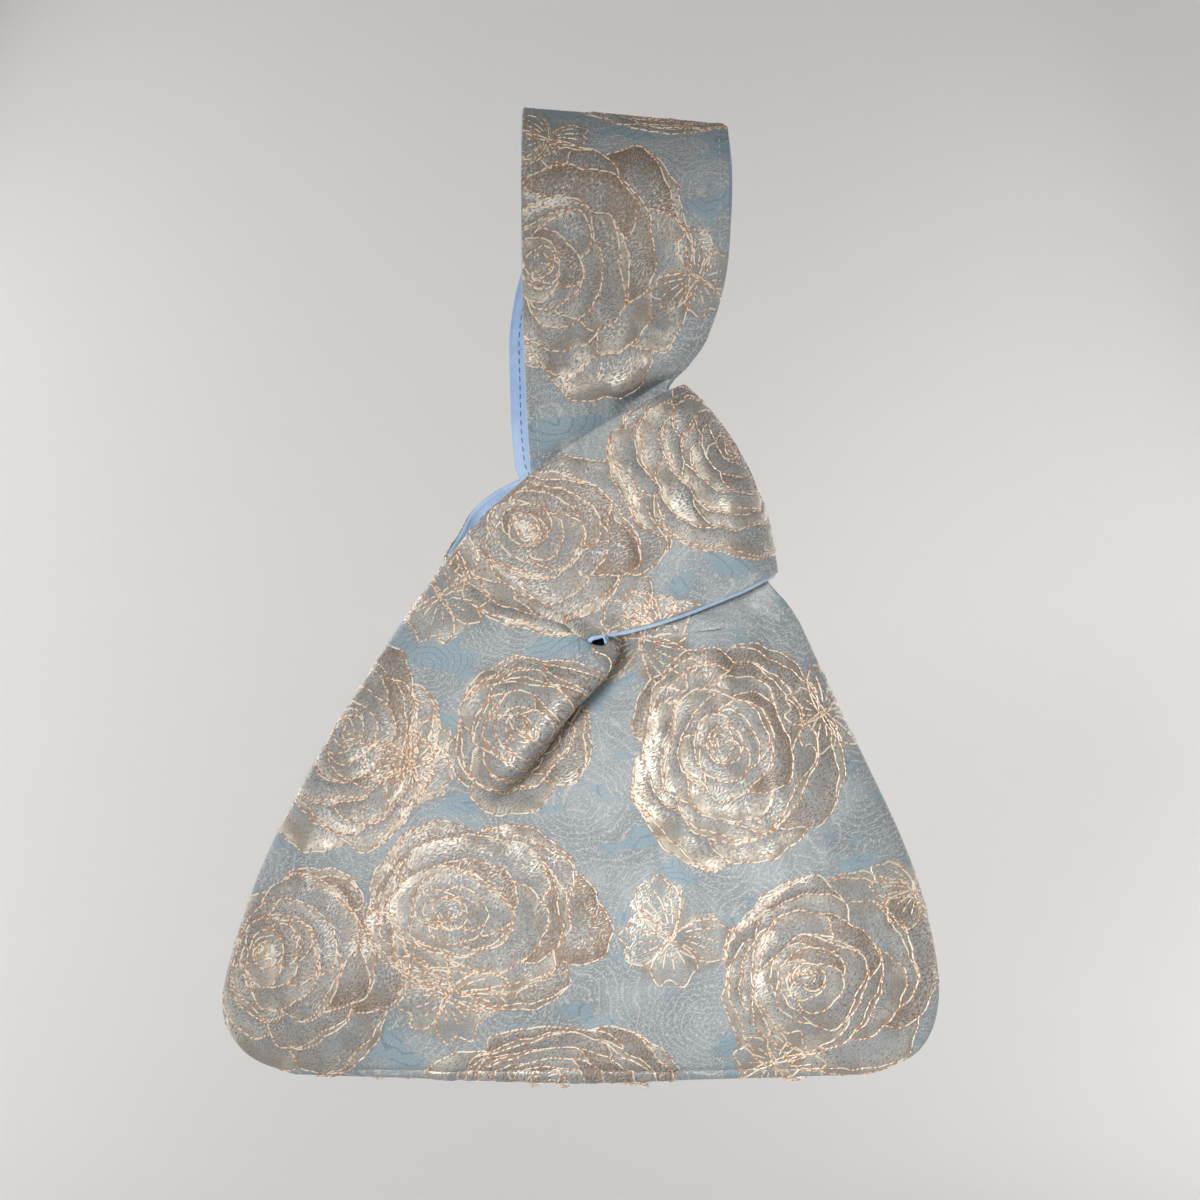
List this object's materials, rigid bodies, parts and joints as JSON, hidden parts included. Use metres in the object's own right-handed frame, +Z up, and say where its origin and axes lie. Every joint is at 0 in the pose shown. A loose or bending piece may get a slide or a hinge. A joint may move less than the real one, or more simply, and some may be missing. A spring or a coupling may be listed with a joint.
{
  "type": "knot bag",
  "caption": "Small brocade knot bag closed by passing its long loop through its short loop, with a blue satin lining.",
  "frame": {"origin": "the point under the top of the long loop where it bears on the wrist that carries it", "axes": "+Z up, +X towards the fold of the short loop, and the front of the bag faces -Y"},
  "size_m": [0.2516, 0.0614, 0.3427],
  "materials": {
    "brocade": "woven satin ground with raised figures",
    "lining": "smooth satin"
  },
  "bodies": {
    "root": {"front_panel": "brocade", "back_panel": "brocade", "front_lining": "lining", "back_lining": "lining"}
  },
  "joints": []
}
